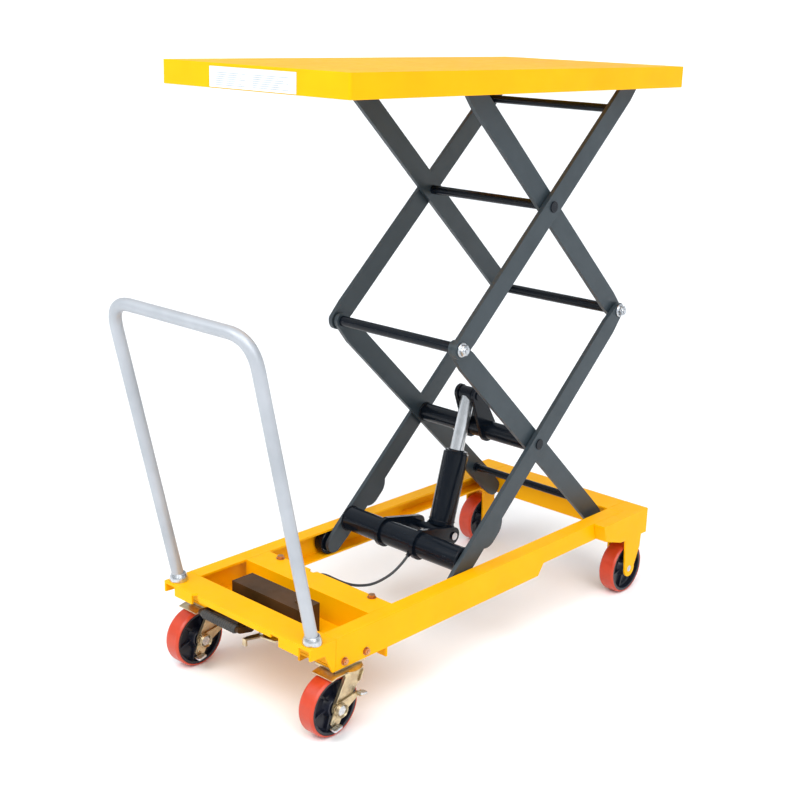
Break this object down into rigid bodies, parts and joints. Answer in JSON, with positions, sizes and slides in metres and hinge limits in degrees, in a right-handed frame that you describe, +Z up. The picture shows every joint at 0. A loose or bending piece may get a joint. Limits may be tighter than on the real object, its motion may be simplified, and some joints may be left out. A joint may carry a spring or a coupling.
{
  "type": "scissor lift table",
  "caption": "Wheeled table that rises on two stacked scissors, worked by a foot pump, with a push handle at one end and braked swivel casters under it.",
  "frame": {"origin": "on the floor under the middle of the bounding box, with the deck raised", "axes": "+Z up, +X from the push handle to the far end, +Y to the side away from the viewer"},
  "size_m": [1.2442, 0.5, 1.25],
  "materials": {
    "yellow_powder_coat": "semi-gloss powder coat",
    "slate_paint": "semi-gloss paint",
    "black_enamel": "gloss enamel",
    "silver_powder_coat": "satin powder coat",
    "yellow_zinc": "passivated zinc plate",
    "bright_zinc": "bright zinc plate",
    "hard_chrome": "polished",
    "red_polyurethane": "cast polyurethane",
    "navy_core": "moulded",
    "grey_rubber": "matt",
    "white_label": "printed film"
  },
  "bodies": {
    "base_frame": {"base_rail_near": "yellow_powder_coat", "base_rail_far": "yellow_powder_coat", "fixed_wheel_box_near": "yellow_powder_coat", "fixed_wheel_box_far": "yellow_powder_coat", "front_beam": "yellow_powder_coat", "cross_plate": "yellow_powder_coat", "far_beam": "yellow_powder_coat", "push_handle": "silver_powder_coat", "handle_collar_near": "bright_zinc", "handle_collar_far": "bright_zinc", "pump_cover": "black_enamel", "pump_head": "black_enamel", "fixed_axle_near": "bright_zinc", "fixed_axle_far": "bright_zinc", "caster_plate_near": "yellow_zinc", "caster_plate_far": "yellow_zinc", "hydraulic_hose": "grey_rubber"},
    "lower_inner_frame": {"lower_inner_arm_near": "slate_paint", "lower_inner_arm_far": "slate_paint", "centre_shaft_lower": "black_enamel", "joint_shaft_left": "black_enamel", "foot_cross_tube": "black_enamel"},
    "lower_outer_frame": {"lower_outer_arm_near": "slate_paint", "lower_outer_arm_far": "slate_paint", "base_tube": "black_enamel", "cylinder_foot_pin": "bright_zinc", "joint_shaft_right": "black_enamel"},
    "upper_inner_frame": {"upper_inner_arm_near": "slate_paint", "upper_inner_arm_far": "slate_paint", "centre_shaft_upper": "black_enamel"},
    "upper_outer_frame": {"upper_outer_arm_near": "slate_paint", "upper_outer_arm_far": "slate_paint", "top_cross_tube": "black_enamel"},
    "deck_assembly": {"deck": "yellow_powder_coat", "deck_track_near": "yellow_powder_coat", "deck_track_far": "yellow_powder_coat", "deck_label": "white_label"},
    "cylinder_body": {"cylinder_barrel": "black_enamel"},
    "piston": {"cylinder_rod": "hard_chrome"},
    "pedal": {"foot_pedal": "black_enamel", "pedal_sleeve": "grey_rubber"},
    "release": {"release_lever": "yellow_zinc"},
    "base_roller_near_body": {"base_roller_near": "black_enamel"},
    "deck_roller_near_body": {"deck_roller_near": "black_enamel"},
    "fixed_wheel_near": {"fixed_tyre_near": "red_polyurethane", "fixed_core_near": "navy_core"},
    "caster_near": {"caster_fork_near": "yellow_zinc"},
    "caster_wheel_near": {"caster_tyre_near": "red_polyurethane", "caster_core_near": "navy_core"},
    "brake_near": {"brake_lever_near": "yellow_zinc"},
    "base_roller_far_body": {"base_roller_far": "black_enamel"},
    "deck_roller_far_body": {"deck_roller_far": "black_enamel"},
    "fixed_wheel_far": {"fixed_tyre_far": "red_polyurethane", "fixed_core_far": "navy_core"},
    "caster_far": {"caster_fork_far": "yellow_zinc"},
    "caster_wheel_far": {"caster_tyre_far": "red_polyurethane", "caster_core_far": "navy_core"},
    "brake_far": {"brake_lever_far": "yellow_zinc"}
  },
  "joints": [
    {"name": "lift", "type": "hinge", "parent": "base_frame", "child": "lower_inner_frame", "pos_m": [0.53425, 0, 0.17], "axis": [0, 1, 0], "range_deg": [-35.28, 0], "deforming": ["hydraulic_hose"]},
    {"name": "lower_crossing", "type": "hinge", "parent": "lower_inner_frame", "child": "lower_outer_frame", "pos_m": [0.24993, 0, 0.43402], "axis": [0, 1, 0], "range_deg": [0, 70.56]},
    {"name": "side_joint", "type": "hinge", "parent": "lower_outer_frame", "child": "upper_inner_frame", "pos_m": [0.53425, 0, 0.69804], "axis": [0, 1, 0], "range_deg": [-70.56, 0]},
    {"name": "upper_crossing", "type": "hinge", "parent": "upper_inner_frame", "child": "upper_outer_frame", "pos_m": [0.24993, 0, 0.96206], "axis": [0, 1, 0], "range_deg": [0, 70.56]},
    {"name": "deck_pivot", "type": "hinge", "parent": "upper_outer_frame", "child": "deck_assembly", "pos_m": [0.53425, 0, 1.22608], "axis": [0, 1, 0], "range_deg": [-35.28, 0]},
    {"name": "cylinder_tilt", "type": "hinge", "parent": "lower_outer_frame", "child": "cylinder_body", "pos_m": [0.12144, -0.01, 0.21235], "axis": [0, 1, 0], "range_deg": [-7.12, 0]},
    {"name": "rod_stroke", "type": "slide", "parent": "cylinder_body", "child": "piston", "axis": [0.2589, 0, 0.9659], "range_m": [-0.1113, 0]},
    {"name": "pedal_stroke", "type": "hinge", "parent": "base_frame", "child": "pedal", "pos_m": [-0.44975, 0.045, 0.165], "axis": [0, 1, 0], "range_deg": [-28, 0], "stiffness_Nm_per_rad": 5, "springref_deg": 8.59},
    {"name": "release_turn", "type": "hinge", "parent": "base_frame", "child": "release", "pos_m": [-0.43975, -0.034, 0.1548], "axis": [0, 0, 1], "range_deg": [0, 10], "stiffness_Nm_per_rad": 1, "springref_deg": -8.59},
    {"name": "base_roller_spin_near", "type": "hinge", "parent": "lower_outer_frame", "child": "base_roller_near_body", "pos_m": [-0.03439, -0.198, 0.17], "axis": [0, 1, 0], "continuous": true},
    {"name": "deck_roller_spin_near", "type": "hinge", "parent": "upper_inner_frame", "child": "deck_roller_near_body", "pos_m": [-0.03439, -0.181, 1.22608], "axis": [0, 1, 0], "continuous": true},
    {"name": "fixed_wheel_spin_near", "type": "hinge", "parent": "base_frame", "child": "fixed_wheel_near", "pos_m": [0.55925, -0.223, 0.0625], "axis": [0, 1, 0], "continuous": true},
    {"name": "caster_swivel_near", "type": "hinge", "parent": "base_frame", "child": "caster_near", "pos_m": [-0.37575, -0.203, 0.131], "axis": [0, 0, 1], "continuous": true},
    {"name": "caster_wheel_spin_near", "type": "hinge", "parent": "caster_near", "child": "caster_wheel_near", "pos_m": [-0.42075, -0.203, 0.0625], "axis": [0, 1, 0], "continuous": true},
    {"name": "brake_turn_near", "type": "hinge", "parent": "caster_near", "child": "brake_near", "pos_m": [-0.42075, -0.233, 0.0625], "axis": [0, 1, 0], "range_deg": [-12, 0]},
    {"name": "base_roller_spin_far", "type": "hinge", "parent": "lower_outer_frame", "child": "base_roller_far_body", "pos_m": [-0.03439, 0.198, 0.17], "axis": [0, 1, 0], "continuous": true},
    {"name": "deck_roller_spin_far", "type": "hinge", "parent": "upper_inner_frame", "child": "deck_roller_far_body", "pos_m": [-0.03439, 0.181, 1.22608], "axis": [0, 1, 0], "continuous": true},
    {"name": "fixed_wheel_spin_far", "type": "hinge", "parent": "base_frame", "child": "fixed_wheel_far", "pos_m": [0.55925, 0.223, 0.0625], "axis": [0, 1, 0], "continuous": true},
    {"name": "caster_swivel_far", "type": "hinge", "parent": "base_frame", "child": "caster_far", "pos_m": [-0.37575, 0.203, 0.131], "axis": [0, 0, 1], "continuous": true},
    {"name": "caster_wheel_spin_far", "type": "hinge", "parent": "caster_far", "child": "caster_wheel_far", "pos_m": [-0.42075, 0.203, 0.0625], "axis": [0, 1, 0], "continuous": true},
    {"name": "brake_turn_far", "type": "hinge", "parent": "caster_far", "child": "brake_far", "pos_m": [-0.42075, 0.173, 0.0625], "axis": [0, 1, 0], "range_deg": [-12, 0]}
  ],
  "couplings": [
    {"joint": "lower_crossing", "follows": "lift", "ratio": -2},
    {"joint": "side_joint", "follows": "lift", "ratio": 2},
    {"joint": "upper_crossing", "follows": "lift", "ratio": -2},
    {"joint": "deck_pivot", "follows": "lift", "ratio": 1},
    {"joint": "cylinder_tilt", "follows": "lift", "ratio": 0.2014},
    {"joint": "rod_stroke", "follows": "lift", "m_per_rad": 0.1807}
  ]
}
